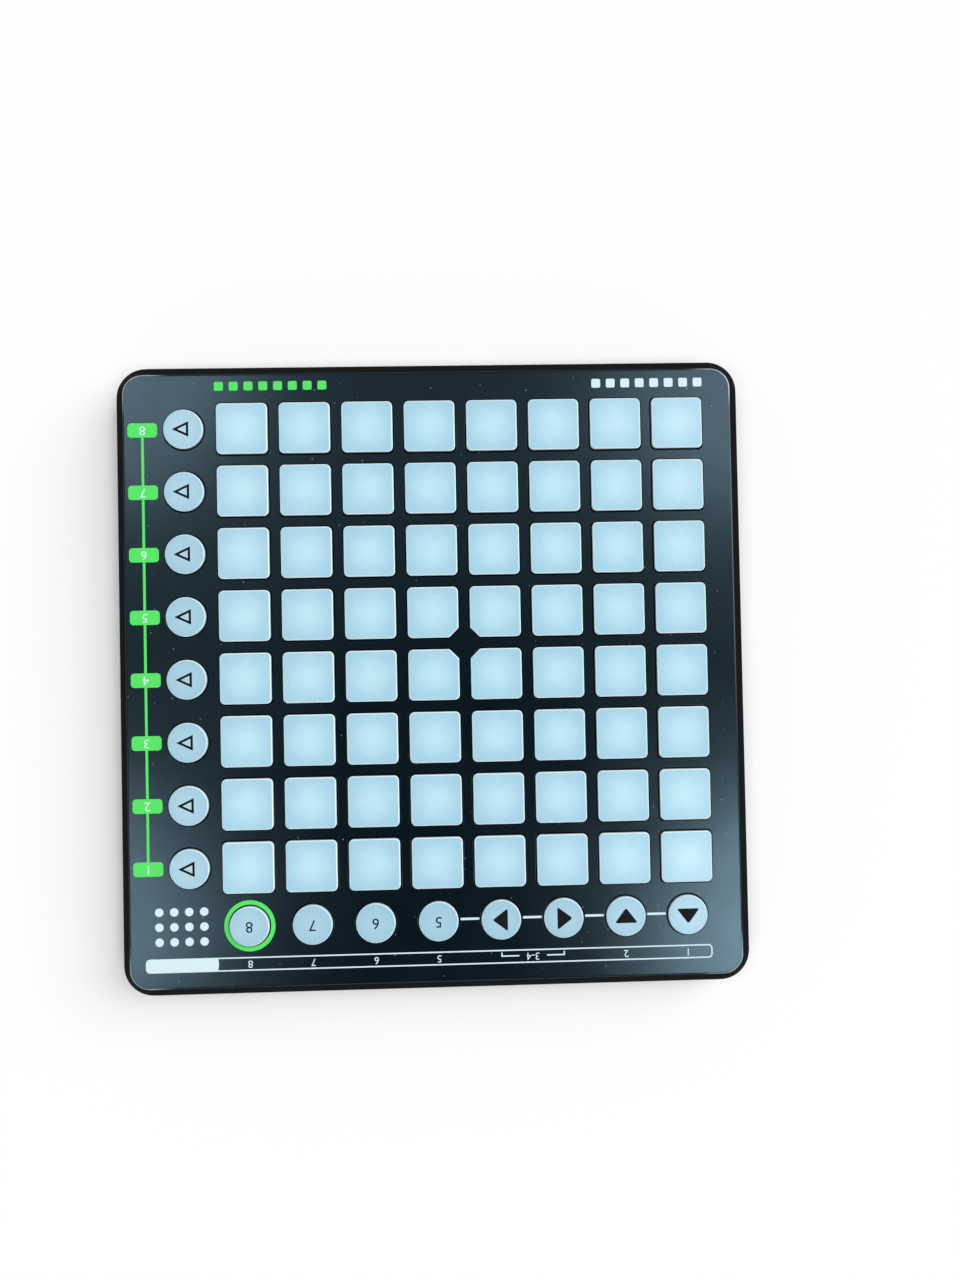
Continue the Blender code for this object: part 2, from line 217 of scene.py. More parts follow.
def objectCoords(tree):
    return addNode(tree, "ShaderNodeTexCoord").outputs["Object"]


def noise(tree, coords, size, detail):
    # a value from 0 to 1 that changes over about that size
    inputs = {"Vector": coords, "Scale": 1 / size, "Detail": detail}
    return addNode(tree, "ShaderNodeTexNoise", inputs).outputs["Fac"]


def remap(tree, value, low, high, start=0.0, end=1.0, blend="LINEAR"):
    inputs = {"Value": value, "From Min": low, "From Max": high, "To Min": start, "To Max": end}
    return addNode(tree, "ShaderNodeMapRange", inputs, interpolation_type=blend).outputs["Result"]


def calculate(tree, operation, *values):
    return addNode(tree, "ShaderNodeMath", dict(enumerate(values)), operation=operation).outputs[0]


def mixColours(tree, share, first, second):
    inputs = {"Factor": share, "A": first, "B": second}
    return addNode(tree, "ShaderNodeMix", inputs, data_type="RGBA").outputs["Result"]


def sidesOf(tree, spot):
    # how far out a spot lies along each axis, either way
    outward = addNode(tree, "ShaderNodeVectorMath", {0: spot}, operation="ABSOLUTE").outputs[0]
    return addNode(tree, "ShaderNodeSeparateXYZ", {0: outward}).outputs


def addBump(tree, shader, height, strength, depth):
    bump = addNode(tree, "ShaderNodeBump", {"Height": height, "Strength": strength, "Distance": depth})
    feed(shader, "Normal", bump.outputs["Normal"])


caseLook = {
    "face": "#000d15",
    "faceRough": (0.18, 0.22),
    "faceBump": (0.2, 0.04 * mm),    # strength, depth
    "rim": ("#07090c", "#0e1115"),
    "wall": ("#090b0d", "#101215"),
    "sheen": "#bce7ff",       # the cool cast of the face's gloss
    "grain": 0.35 * mm,       # spark-eroded texture, drawn a little coarse so that it shows
    "cloud": 24 * mm,         # slow change of gloss where hands have polished it
    "cloudRange": (0.3, 0.7),
    "dust": "#9aa3a6",
    "dustCell": 9 * mm,
    "dustSize": 0.26 * mm,
    "dustFree": 0.4,          # share of cells with no speck
}


def makeSatinPlastic():
    # satin black ABS from a lightly sparked mould: soft broad sheen, faint grain, a few dust specks
    material, tree, shader = startMaterial("satinBlackAbsMoulded", IOR=1.5,
                                           Specular_Tint=hexColour(caseLook["sheen"]))
    coords = objectCoords(tree)
    cloud = noise(tree, coords, caseLook["cloud"], detail=3.0)
    feed(shader, "Roughness", remap(tree, cloud, *caseLook["cloudRange"], *caseLook["faceRough"]))
    cellInputs = {"Vector": coords, "Scale": 1 / caseLook["dustCell"], "Randomness": 1.0}
    cells = addNode(tree, "ShaderNodeTexVoronoi", cellInputs, voronoi_dimensions="2D").outputs
    chance = addNode(tree, "ShaderNodeSeparateColor", {"Color": cells["Color"]}).outputs
    largest = caseLook["dustSize"] / caseLook["dustCell"]
    size = remap(tree, chance["Red"], caseLook["dustFree"], 1.0, 0.0, largest)
    inSpeck = calculate(tree, "LESS_THAN", cells["Distance"], size)
    speck = calculate(tree, "MULTIPLY", inSpeck, chance["Green"])
    colour = mixColours(tree, speck, hexColour(caseLook["face"]), hexColour(caseLook["dust"]))
    feed(shader, "Base Color", colour)
    addBump(tree, shader, noise(tree, coords, caseLook["grain"], detail=2.0), *caseLook["faceBump"])
    return material


edgeLook = {
    "plain": "#0c1013",
    # painted highlight: the pale colour at the corners of the face's edge stands in for light caught by its
    # fillet
    "cornerHighlight": "#a9b6bb",
    "highlightFrom": 98 * mm,      # how far from the middle, both ways, the painted highlight of the corners starts
    "highlightTo": 109 * mm,
    "patch": 5 * mm,
    "patchRange": (0.3, 0.6),
    "leastHighlight": 0.55,        # share of the painted highlight that is left between the patches
    "rough": (0.14, 0.26),
    "sheen": "#dcf2ff",
}


def makeEdgePlastic():
    # the edge round the face, rubbed smooth by hands: a thin line, with a painted highlight that makes it
    # pale at the corners
    material, tree, shader = startMaterial("blackAbsEdgePaintedHighlight", IOR=1.6, Specular_IOR_Level=0.6,
                                           Specular_Tint=hexColour(edgeLook["sheen"]))
    coords = objectCoords(tree)
    sides = sidesOf(tree, coords)
    inCorner = calculate(tree, "MINIMUM", sides["X"], sides["Y"])
    # painted highlight, strongest at the corners and broken into patches
    highlightZone = remap(tree, inCorner, edgeLook["highlightFrom"], edgeLook["highlightTo"], blend="SMOOTHSTEP")
    patch = noise(tree, coords, edgeLook["patch"], detail=3.0)
    patchy = remap(tree, patch, *edgeLook["patchRange"], edgeLook["leastHighlight"])
    paintedHighlight = calculate(tree, "MULTIPLY", highlightZone, patchy)
    colour = mixColours(tree, paintedHighlight, hexColour(edgeLook["plain"]), hexColour(edgeLook["cornerHighlight"]))
    feed(shader, "Base Color", colour)
    feed(shader, "Roughness", remap(tree, patch, 0.0, 1.0, *edgeLook["rough"]))
    return material


siliconeLook = {
    # rim: painted highlight, the near-white colour of each key's outer edge and fillet
    "pad": {"middle": "#bfe6f3", "edge": "#a5d2e6", "rim": "#eefcff", "rimHighlightStart": 0.953},
    "button": {"middle": "#abd1e2", "edge": "#9ec8dc", "rim": "#d6eef8", "rimHighlightStart": 0.95},
    # side: painted shade, the greyer colour of each key's upright sides
    "side": "#a5bac3",
    "mottle": 4 * mm,
    "fleck": 0.9 * mm,        # fine cloudiness of the filled rubber
    "cloudiness": 0.4,
    "fade": (0.45, 1.6),      # where the pale middle ends and the edge colour is full
    "rimHighlightBlend": 0.02,
    # upward part of the normal where the rim's painted highlight and the sides' painted shade start and are
    # full
    "rimHighlightSlope": (0.985, 0.92),
    "sideShadeSlope": (0.25, 0.05),
    "grain": 0.3 * mm,
    "rough": (0.22, 0.3),
    "bump": (0.1, 0.03 * mm),
}


def makeSilicone(name, look, isRound):
    # moulded translucent silicone: paler in the middle, deeper in colour towards its edge, with a painted
    # highlight along its thin rim and painted shade on its upright sides
    material, tree, shader = startMaterial(name, IOR=1.41)
    coords = objectCoords(tree)
    face = addNode(tree, "ShaderNodeUVMap", uv_map="keyFace").outputs["UV"]
    reach = addNode(tree, "ShaderNodeVectorMath", {0: face}, operation="LENGTH").outputs["Value"]
    mottle = noise(tree, coords, siliconeLook["mottle"], detail=4.0)
    fleck = noise(tree, coords, siliconeLook["fleck"], detail=3.0)
    cloudy = calculate(tree, "ADD", mottle, fleck)
    uneven = calculate(tree, "MULTIPLY_ADD", cloudy, siliconeLook["cloudiness"], reach)
    fade = remap(tree, uneven, *siliconeLook["fade"], blend="SMOOTHSTEP")
    body = mixColours(tree, fade, hexColour(look["middle"]), hexColour(look["edge"]))
    outward = reach
    if not isRound:
        sides = sidesOf(tree, face)
        outward = calculate(tree, "MAXIMUM", sides["X"], sides["Y"])
    normal = addNode(tree, "ShaderNodeNewGeometry").outputs["Normal"]
    slope = addNode(tree, "ShaderNodeSeparateXYZ", {0: normal}).outputs["Z"]
    # painted highlight on the rim: the outer band of the top and the steep fillet take the near-white rim
    # colour
    topEdgeHighlight = remap(tree, outward, look["rimHighlightStart"], look["rimHighlightStart"] + siliconeLook["rimHighlightBlend"])
    filletHighlight = remap(tree, slope, *siliconeLook["rimHighlightSlope"])
    rimHighlight = calculate(tree, "MAXIMUM", topEdgeHighlight, filletHighlight)
    withRimHighlight = mixColours(tree, rimHighlight, body, hexColour(look["rim"]))
    # painted shade on the keys' upright sides
    sideShade = remap(tree, slope, *siliconeLook["sideShadeSlope"])
    feed(shader, "Base Color", mixColours(tree, sideShade, withRimHighlight, hexColour(siliconeLook["side"])))
    grain = noise(tree, coords, siliconeLook["grain"], detail=2.0)
    feed(shader, "Roughness", remap(tree, grain, 0.0, 1.0, *siliconeLook["rough"]))
    addBump(tree, shader, grain, *siliconeLook["bump"])
    return material


speckleDepth = 0.05 * mm


def makeSpeckled(name, light, dark, grain, rough, bump, **values):
    # one base colour broken up by fine grain in colour, gloss and height, as moulded or printed surfaces are
    material, tree, shader = startMaterial(name, **values)
    speckle = noise(tree, objectCoords(tree), grain, detail=4.0)
    feed(shader, "Base Color", mixColours(tree, speckle, hexColour(light), hexColour(dark)))
    feed(shader, "Roughness", remap(tree, speckle, 0.0, 1.0, *rough))
    addBump(tree, shader, speckle, bump, speckleDepth)
    return material


satinPlastic = makeSatinPlastic()
edgePlastic = makeEdgePlastic()
padSilicone = makeSilicone("frostedSiliconeMoulded", siliconeLook["pad"], False)
buttonSilicone = makeSilicone("frostedSiliconeButtons", siliconeLook["button"], True)
# the case's ABS from a coarser mould wall: the slope is deep black with nearly no sheen
rimPlastic = makeSpeckled("matteBlackAbsMoulded", *caseLook["rim"], grain=caseLook["grain"],
                          rough=(0.42, 0.58), bump=0.25, Specular_IOR_Level=0.008,
                          Specular_Tint=hexColour(caseLook["sheen"]))
# its upright walls are dull, with a sandy grain
wallPlastic = makeSpeckled("sparkedBlackAbsMoulded", *caseLook["wall"], grain=caseLook["grain"],
                           rough=(0.36, 0.5), bump=0.3, Specular_IOR_Level=0.25)
# painted shade: dead black over a key's foot under the face, so that the gap round each key looks dark
gapShadeCoat = makeSpeckled("blackPaintedGapShade", "#0b0d0f", "#060708", grain=0.4 * mm,
                         rough=(0.7, 0.9), bump=0.1, Specular_IOR_Level=0.15)
# screen inks: flat and opaque, a little uneven where the mesh left them
greenInk = makeSpeckled("greenScreenInk", "#52ea63", "#46dd58", grain=0.5 * mm, rough=(0.4, 0.55), bump=0.05)
whiteInk = makeSpeckled("whiteScreenInk", "#dcf2f7", "#cee8ef", grain=0.5 * mm, rough=(0.4, 0.55), bump=0.05)
blackInk = makeSpeckled("blackScreenInk", "#0c0e12", "#15181d", grain=0.5 * mm, rough=(0.5, 0.65), bump=0.05,
                        Specular_IOR_Level=0.1)
# dull black rubber with a coarse skin
footRubber = makeSpeckled("blackRubberMoulded", "#1b1c1d", "#101112", grain=0.6 * mm,
                          rough=(0.75, 0.95), bump=0.4)
# bright plated steel, its reflections a little blurred
socketSteel = makeSpeckled("nickelPlatedSteel", "#b9bcc0", "#a2a5aa", grain=0.4 * mm,
                           rough=(0.22, 0.36), bump=0.05, Metallic=1.0)
# warm yellow plating
contactGold = makeSpeckled("goldPlatedBrass", "#d8b25a", "#c39a42", grain=0.3 * mm,
                           rough=(0.25, 0.4), bump=0.05, Metallic=1.0)
# smoky dark grey metal
screwSteel = makeSpeckled("blackZincSteel", "#3a3c40", "#2b2d30", grain=0.3 * mm,
                          rough=(0.3, 0.5), bump=0.1, Metallic=1.0)
# deep green lacquer with a soft gloss
boardMask = makeSpeckled("greenSolderMask", "#125c39", "#0d4a2d", grain=1.2 * mm,
                         rough=(0.3, 0.45), bump=0.1)
# matte charcoal resin
chipResin = makeSpeckled("blackEpoxyMoulded", "#1a1b1c", "#111213", grain=0.2 * mm,
                         rough=(0.55, 0.7), bump=0.2)
# milky pale rubber sheet
matSilicone = makeSpeckled("clearSiliconeSheet", "#c8d6dc", "#b4c6ce", grain=1.0 * mm,
                           rough=(0.45, 0.6), bump=0.1)
# plain dull black nylon
tonguePlastic = makeSpeckled("blackNylonMoulded", "#18191a", "#101011", grain=0.2 * mm,
                             rough=(0.5, 0.65), bump=0.2)
print("materials made:", len(bpy.data.materials))


# Where the keys are, from the frame's joints

keyPlaces = {joint["child"]: Vector(joint["pos_m"]) for joint in frame["joints"]}
padNames = sorted(name for name in keyPlaces if name.startswith("pads_"))
sideNames = sorted(name for name in keyPlaces if name.startswith("side_button_"))
topNames = sorted(name for name in keyPlaces if name.startswith("top_button_"))
buttonNames = sideNames + topNames
padPitch = (keyPlaces["pads_r1_c3_4"].x - keyPlaces["pads_r1_c1_2"].x) / 2
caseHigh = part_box("top_cover")[1]
faceTop = caseHigh.z
plungerEnd, keyTop = (corner.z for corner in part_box(sideNames[0]))


def padCentres(name):
    # two pads stand on each strip; gives (column, row, middle) of both
    row = int(name.split("_")[1][1:])
    column = int(name.split("_")[2][1:])
    middle = keyPlaces[name]
    return [(column + i, row, Vector((middle.x + (i - 0.5) * padPitch, middle.y, 0))) for i in (0, 1)]


# Pads and round buttons

padShape = {
    "size": 19.3 * mm,
    "corner": 1.9 * mm,
    "cornerSteps": 6,
    "cut": 3.6 * mm,          # flat corner of the four middle pads
    "cutRound": 0.35 * mm,
    "cutSteps": 3,
    "topRound": 0.45 * mm,
    "topSteps": 4,
    "flange": 1.3 * mm,
    "flangeDrop": 2.3 * mm,   # from the face down to the flange
    "flangeThick": 1.0 * mm,
    "plunger": 8.0 * mm,
    "skirt": 0.15 * mm,       # how far under the face the black of the painted gap shade starts
}
buttonShape = {
    "radius": 7.5 * mm,
    "steps": 64,
    "topRound": 0.5 * mm,
    "topSteps": 4,
}
skirtTop = faceTop - padShape["skirt"]
flangeTop = faceTop - padShape["flangeDrop"]


def growFoot(half, plungerHalf):
    # skirt, flange and plunger under a key, drawn out of its bottom face
    bpy.ops.mesh.extrude_region_move(TRANSFORM_OT_translate={"value": (0, 0, flangeTop - skirtTop)})
    wide = (half + padShape["flange"]) / half
    bpy.ops.mesh.extrude_region_move(TRANSFORM_OT_translate={"value": (0, 0, 0)})
    bpy.ops.transform.resize(value=(wide, wide, 1), center_override=(0, 0, flangeTop))
    bpy.ops.mesh.extrude_region_move(TRANSFORM_OT_translate={"value": (0, 0, -padShape["flangeThick"])})
    bpy.ops.mesh.extrude_region_move(TRANSFORM_OT_translate={"value": (0, 0, 0)})
    narrow = plungerHalf / (half + padShape["flange"])
    bpy.ops.transform.resize(value=(narrow, narrow, 1), center_override=(0, 0, flangeTop))
    drop = plungerEnd - (flangeTop - padShape["flangeThick"])
    bpy.ops.mesh.extrude_region_move(TRANSFORM_OT_translate={"value": (0, 0, drop)})


def mapFace(piece, half):
    # keyFace: 0 in the middle of the key, 1 at its edge
    layer = piece.data.uv_layers.active or piece.data.uv_layers.new()
    layer.name = "keyFace"
    for loop in piece.data.loops:
        spot = piece.data.vertices[loop.vertex_index].co
        layer.data[loop.index].uv = (spot.x / half, spot.y / half)


def finishKey(key, silicone):
    smoothShade(key)
    setFinish(key, silicone, gapShadeCoat)
    for polygon in key.data.polygons:
        # painted shade: every part of the key under the face takes the black coat
        polygon.material_index = 1 if polygon.center.z < skirtTop else 0


def atCutCorner(edge):
    return isUpright(edge) and edge.verts[0].co.x > 0 and edge.verts[0].co.y > 0


def atFullCorner(half):
    return lambda edge: isUpright(edge) and all(near(abs(c), half) for c in edge.verts[0].co[:2])


def makePad(name, withCut):
    half = padShape["size"] / 2
    pad = addBlock(name, (-half, -half, skirtTop), (half, half, keyTop))
    if withCut:
        roundCorners(pad, padShape["cut"], 1, atCutCorner)
        roundCorners(pad, padShape["cutRound"], padShape["cutSteps"], atCutCorner)
        roundCorners(pad, padShape["corner"], padShape["cornerSteps"], atFullCorner(half))
    else:
        roundCorners(pad, padShape["corner"], padShape["cornerSteps"])
    roundCorners(pad, padShape["topRound"], padShape["topSteps"], levelAt(keyTop))
    openEdit(pad)
    choose("FACE", levelAt(skirtTop))
    growFoot(half, padShape["plunger"] / 2)
    closeEdit()
    mapFace(pad, half)
    finishKey(pad, padSilicone)
    return pad


def makeButton():
    radius = buttonShape["radius"]
    button = addDisc("buttonModel", (0, 0), skirtTop, keyTop, radius, buttonShape["steps"])
    roundCorners(button, buttonShape["topRound"], buttonShape["topSteps"], levelAt(keyTop))
    openEdit(button)
    choose("FACE", levelAt(skirtTop))
    growFoot(radius, padShape["plunger"] / 2)
    closeEdit()
    mapFace(button, radius)
    finishKey(button, buttonSilicone)
    return button


padModel = makePad("padModel", False)
cutPadModel = makePad("cutPadModel", True)
# quarter turns that bring the cut corner towards the middle of the grid
cutTurns = {(4, 4): 0, (5, 4): 1, (5, 5): 2, (4, 5): 3}
for name in padNames:
    for column, row, middle in padCentres(name):
        cut = cutTurns.get((column, row))
        model = padModel if cut is None else cutPadModel
        pad = copyPiece(model, f"pad_r{row}_c{column}", middle, (cut or 0) * math.pi / 2)
        place(pad, name, "key", name)
buttonModel = makeButton()
for name in buttonNames:
    button = copyPiece(buttonModel, f"{name}_cap", (keyPlaces[name].x, keyPlaces[name].y, 0))
    place(button, name, "key", name)
for model in (padModel, cutPadModel, buttonModel):
    bpy.data.objects.remove(model, do_unlink=True)
print("keys placed:", 2 * len(padNames), "pads and", len(buttonNames), "buttons")


# Case

caseShape = {
    "corner": 11.5 * mm,
    "cornerSteps": 14,
    "wall": 2.0 * mm,
    "shoulder": 13.6 * mm,     # where the top cover's slope starts
    "slopeRun": 4.1 * mm,
    "faceRound": 0.5 * mm,     # fillet round the face's edge, the thin bright line
    "shoulderRound": 0.8 * mm,
    "baseShoulder": 5.0 * mm,
    "baseRun": 5.0 * mm,
    "baseRound": 1.2 * mm,
    "endSteps": 4,             # steps of the fillet at a tray's closed end
    "shoulderSteps": 5,
    "openingGap": 0.45 * mm,
    "openingRound": 0.2 * mm,
    "openingSteps": 64,        # of a round opening
    "cutDeep": 6 * mm,         # how far the openings' cutters reach under and over the face
    "cutAbove": 3 * mm,
    # upward part of the normal over which a surface counts as face, edge or slope
    "faceLevel": 0.97,
    "edgeLevel": 0.8,
    "slopeLevel": 0.2,
    "rimReach": 2 * mm,        # how far inside the corner's curve the rim's finish starts
}


def makeTray(name, inset, rim, shoulder, end, run, rounds):
    # rounded slab with upright walls from rim to shoulder, drawn in by run up to end
    half = caseHigh.x - inset
    tray = addBlock(name, (-half, -half, min(rim, shoulder)), (half, half, max(rim, shoulder)))
    roundCorners(tray, caseShape["corner"] - inset, caseShape["cornerSteps"])
    openEdit(tray)
    choose("FACE", levelAt(shoulder))
    bpy.ops.mesh.inset(thickness=run, depth=0, use_even_offset=True)
    bpy.ops.transform.translate(value=(0, 0, end - shoulder))
    closeEdit()
    endRound, shoulderRound = rounds
    if endRound:
        roundCorners(tray, endRound, caseShape["endSteps"], levelAt(end))
    if shoulderRound:
        roundCorners(tray, shoulderRound, caseShape["shoulderSteps"], levelAt(shoulder))
    return tray


def openingCutters():
    # one solid for every key opening, joined into a single cutter
    gap = caseShape["openingGap"]
    half = padShape["size"] / 2 + gap
    low, high = faceTop - caseShape["cutDeep"], faceTop + caseShape["cutAbove"]
    corner, steps = padShape["corner"] + gap / 2, padShape["cornerSteps"]
    plain = addBlock("openingModel", (-half, -half, low), (half, half, high))
    roundCorners(plain, corner, steps)
    withCut = addBlock("cutOpeningModel", (-half, -half, low), (half, half, high))
    roundCorners(withCut, padShape["cut"] + gap / 2, 1, atCutCorner)
    roundCorners(withCut, corner, steps, atFullCorner(half))
    cutters = []
    for name in padNames:
        for column, row, middle in padCentres(name):
            cut = cutTurns.get((column, row))
            model = plain if cut is None else withCut
            cutters.append(copyPiece(model, "opening", middle, (cut or 0) * math.pi / 2))
    radius = buttonShape["radius"] + gap
    for name in buttonNames:
        spot = keyPlaces[name]
        cutters.append(addDisc("opening", spot[:2], low, high, radius, caseShape["openingSteps"]))
    for model in (plain, withCut):
        bpy.data.objects.remove(model, do_unlink=True)
    return joinPieces("keyOpenings", cutters)


def softenEdges(piece, width, steps=2, angle=55):
    applyModifier(piece, "BEVEL", width=width, segments=steps, limit_method="ANGLE",
                  angle_limit=math.radians(angle), use_clamp_overlap=True)


def makeTopCover():
    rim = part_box("top_cover")[0].z
    wall, shoulder = caseShape["wall"], caseShape["shoulder"]
    run = caseShape["slopeRun"]
    cover = makeTray("top_cover_shell", 0, rim, shoulder, faceTop, run,
                     (caseShape["faceRound"], caseShape["shoulderRound"]))
    innerRun = run * (faceTop - wall - shoulder) / (faceTop - shoulder)
    cutAway(cover, makeTray("coverCavity", wall, rim - wall, shoulder, faceTop - wall, innerRun, (0, 0)))
    cutAway(cover, openingCutters())
    softenEdges(cover, caseShape["openingRound"])
    smoothShade(cover)
    setFinish(cover, satinPlastic, edgePlastic, rimPlastic, wallPlastic)
    levels = [caseShape[name] for name in ("faceLevel", "edgeLevel", "slopeLevel")]
    inner = caseHigh.x - run - caseShape["corner"]
    for polygon in cover.data.polygons:
        pastX, pastY = (max(abs(c) - inner, 0) for c in polygon.center[:2])
        onRim = math.hypot(pastX, pastY) > caseShape["corner"] - caseShape["rimReach"]
        steps = sum(polygon.normal.z <= level for level in levels)
        polygon.material_index = steps if onRim else 0
    place(cover, "case", "case", "top_cover")


makeTopCover()
print("top cover made")


# Bottom cover, feet and screws

baseShape = {
    "towerRadius": 3.5 * mm,
    "towerSteps": 32,
    "headHole": 2.8 * mm,
    "headHoleSteps": 40,
    "headSeat": 3.5 * mm,      # how high the screw heads' holes reach
    "footGap": 0.3 * mm,
    "socketGap": 0.3 * mm,
    "slotMiddle": (60 * mm, 7.75 * mm),
    "slotSize": (7 * mm, 3 * mm),
    "slotCorner": 0.9 * mm,
    "rearCornerSteps": 4,
    "plate": (64 * mm, 30 * mm),   # shallow bare panel in the middle of the underside
    "plateDepth": 0.35 * mm,
    "plateCorner": 2.5 * mm,
    "plateCornerSteps": 6,
    "edgeRound": 0.2 * mm,
}
footNames = ("front_foot", "rear_foot")
screwNames = sorted(name for name in frame["nodes"] if name.startswith("case_screw_"))


def middleOf(node):
    low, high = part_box(node)
    return (low + high) / 2


def rearCutter(name, low, high, corner):
    # opens the rear wall between two corners, each given as (x, z)
    back, wall = caseHigh.y, caseShape["wall"]
    cutter = addBlock(name, (low[0], back - 2 * wall, low[1]), (high[0], back + wall, high[1]))
    roundCorners(cutter, corner, baseShape["rearCornerSteps"], runsAlongY)
    return cutter


def socketCutter():
    low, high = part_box("usb_socket")
    gap = baseShape["socketGap"]
    return rearCutter("socketMouth", (low.x - gap, low.z - gap), (high.x + gap, high.z + gap),
                      socketShape["corner"] + gap)


def lockCutter():
    (x, z), (wide, high) = baseShape["slotMiddle"], baseShape["slotSize"]
    return rearCutter("lockSlot", (x - wide / 2, z - high / 2), (x + wide / 2, z + high / 2),
                      baseShape["slotCorner"])


def footCutter(name):
    low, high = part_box(name)
    gap = Vector((baseShape["footGap"], baseShape["footGap"], 0))
    recess = addBlock("footRecess", low - gap - Vector((0, 0, caseShape["wall"])), high + gap)
    roundCorners(recess, footShape["endRadius"] + baseShape["footGap"], footShape["endSteps"])
    return recess


def panelCutter(underside):
    wide, deep = baseShape["plate"]
    panel = addBlock("barePanel", (-wide / 2, -deep / 2, underside - caseShape["wall"]),
                     (wide / 2, deep / 2, underside + baseShape["plateDepth"]))
    roundCorners(panel, baseShape["plateCorner"], baseShape["plateCornerSteps"])
    return panel


def makeBottomCover():
    underside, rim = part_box("bottom_cover")[0].z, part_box("bottom_cover")[1].z
    wall, shoulder, run = caseShape["wall"], caseShape["baseShoulder"], caseShape["baseRun"]
    cover = makeTray("bottom_cover_shell", 0, rim, shoulder, underside, run,
                     (caseShape["baseRound"], caseShape["baseRound"]))
    innerRun = run * (shoulder - underside - wall) / (shoulder - underside)
    cutAway(cover, makeTray("baseCavity", wall, rim + wall, shoulder, underside + wall, innerRun, (0, 0)))
    spots = [middleOf(name)[:2] for name in screwNames]
    foot, radius, steps = underside + wall / 2, baseShape["towerRadius"], baseShape["towerSteps"]
    towers = [addDisc("tower", spot, foot, rim, radius, steps) for spot in spots]
    unite(cover, joinPieces("screwTowers", towers))
    low, high = underside - wall, baseShape["headSeat"]
    radius, steps = baseShape["headHole"], baseShape["headHoleSteps"]
    cuts = [addDisc("headHole", spot, low, high, radius, steps) for spot in spots]
    cuts.extend(footCutter(name) for name in footNames)
    cuts.extend((socketCutter(), lockCutter(), panelCutter(underside)))
    cutAway(cover, joinPieces("undersideCuts", cuts))
    softenEdges(cover, baseShape["edgeRound"])
    smoothShade(cover)
    setFinish(cover, wallPlastic)
    place(cover, "case", "case", "bottom_cover")


footShape = {
    "endRadius": 4.0 * mm,
    "endSteps": 8,
    "edgeRound": 0.1 * mm,
    "grooves": 3,
    "groovePitch": 2.2 * mm,
    "grooveWide": 0.7 * mm,
    "grooveDeep": 0.3 * mm,
}


def makeFoot(name):
    low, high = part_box(name)
    foot = addBlock(f"{name}_strip", low, high)
    roundCorners(foot, footShape["endRadius"], footShape["endSteps"])
    middle = (low.y + high.y) / 2
    half, end = footShape["grooveWide"] / 2, footShape["endRadius"]
    grooves = []
    for i in range(footShape["grooves"]):
        y = middle + (i - (footShape["grooves"] - 1) / 2) * footShape["groovePitch"]
        grooves.append(addBlock("groove", (low.x + end, y - half, low.z - half),
                                (high.x - end, y + half, low.z + footShape["grooveDeep"])))
    cutAway(foot, joinPieces("footGrooves", grooves))
    softenEdges(foot, footShape["edgeRound"])
    smoothShade(foot)
    setFinish(foot, footRubber)
    place(foot, "case", "foot", name)


screwShape = {
    "headRadius": 2.5 * mm,
    "headSteps": 40,
    "headHigh": 1.6 * mm,
    "headRound": 0.45 * mm,
    "headRoundSteps": 4,
    "shankRadius": 1.1 * mm,
    "crossWide": 0.75 * mm,
    "crossLong": 2.9 * mm,
    "crossDeep": 0.9 * mm,
    "turns": (20, 31),         # degrees: the first screw's, and what each next one adds
}


def makeScrewModel(low, high):
    # pan head down, cross recess in it, shank drawn up out of the head's upper face
    headTop = low + screwShape["headHigh"]
    head = addDisc("screwModel", (0, 0), low, headTop, screwShape["headRadius"], screwShape["headSteps"])
    roundCorners(head, screwShape["headRound"], screwShape["headRoundSteps"], levelAt(low))
    openEdit(head)
    choose("FACE", levelAt(headTop))
    bpy.ops.mesh.inset(thickness=screwShape["headRadius"] - screwShape["shankRadius"], depth=0)
    bpy.ops.mesh.extrude_region_move(TRANSFORM_OT_translate={"value": (0, 0, high - headTop)})
    closeEdit()
    long, wide = screwShape["crossLong"] / 2, screwShape["crossWide"] / 2
    under, crossTop = low - screwShape["crossDeep"], low + screwShape["crossDeep"]
    cutAway(head, addBlock("crossA", (-long, -wide, under), (long, wide, crossTop)))
    cutAway(head, addBlock("crossB", (-wide, -long, under), (wide, long, crossTop)))
    smoothShade(head, angle=40)
    setFinish(head, screwSteel)
    return head


def makeScrews():
    low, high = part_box(screwNames[0])
    model = makeScrewModel(low.z, high.z)
    first, step = screwShape["turns"]
    for i, name in enumerate(screwNames):
        middle = middleOf(name)
        turn = math.radians(first + step * i)
        screw = copyPiece(model, f"{name}_steel", (middle.x, middle.y, 0), turn)
        place(screw, "case", "metal", name)
    bpy.data.objects.remove(model, do_unlink=True)


# Socket in the rear wall

socketShape = {
    "shell": 0.4 * mm,
    "corner": 0.7 * mm,
    "cornerSteps": 4,
    "back": 1.5 * mm,
    "tongueWide": 4.6 * mm,
    "tongueHigh": 0.9 * mm,
    "tongueBack": 1.0 * mm,
    "contacts": 5,
    "contactPitch": 0.8 * mm,
    "contactWide": 0.36 * mm,
    "contactSunk": 0.05 * mm,
    "contactProud": 0.08 * mm,
    "contactEnds": (1.0 * mm, 0.3 * mm),   # left free at the tongue's root and tip
    "contactRound": 0.04 * mm,
    "shellRound": 0.08 * mm,
    "tongueRound": 0.15 * mm,
}


